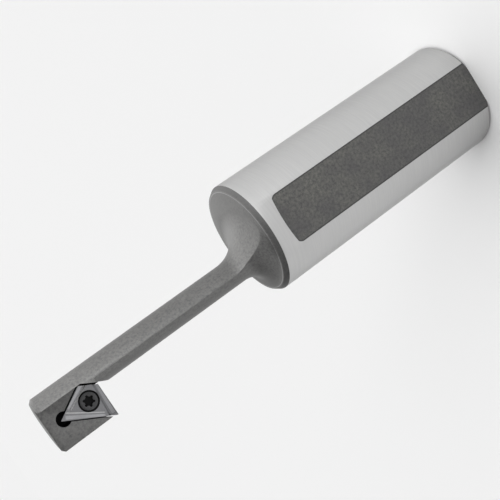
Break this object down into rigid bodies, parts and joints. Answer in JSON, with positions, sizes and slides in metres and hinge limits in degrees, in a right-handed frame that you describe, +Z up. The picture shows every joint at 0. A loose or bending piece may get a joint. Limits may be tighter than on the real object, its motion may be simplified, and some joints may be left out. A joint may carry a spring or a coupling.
{
  "type": "boring bar",
  "caption": "Slim eccentric boring bar: ground round shank with a clamping flat, narrow neck, and a head with a screwed-on triangular cutting insert.",
  "frame": {"origin": "centre of the shank's rear end face, on the shank axis", "axes": "+Z up the shank towards the cutting head, -Y out of the clamping flat, -X towards the cutting corner"},
  "size_m": [0.0256, 0.025, 0.1132],
  "materials": {
    "bar_steel": "ground bright shank; satin blackened flat, front face, neck and head",
    "carbide": "ground and polished cemented carbide",
    "screw_steel": "black oxide"
  },
  "bodies": {
    "root": {"bar_body": "bar_steel", "insert": "carbide", "clamp_screw": "screw_steel"}
  },
  "joints": []
}
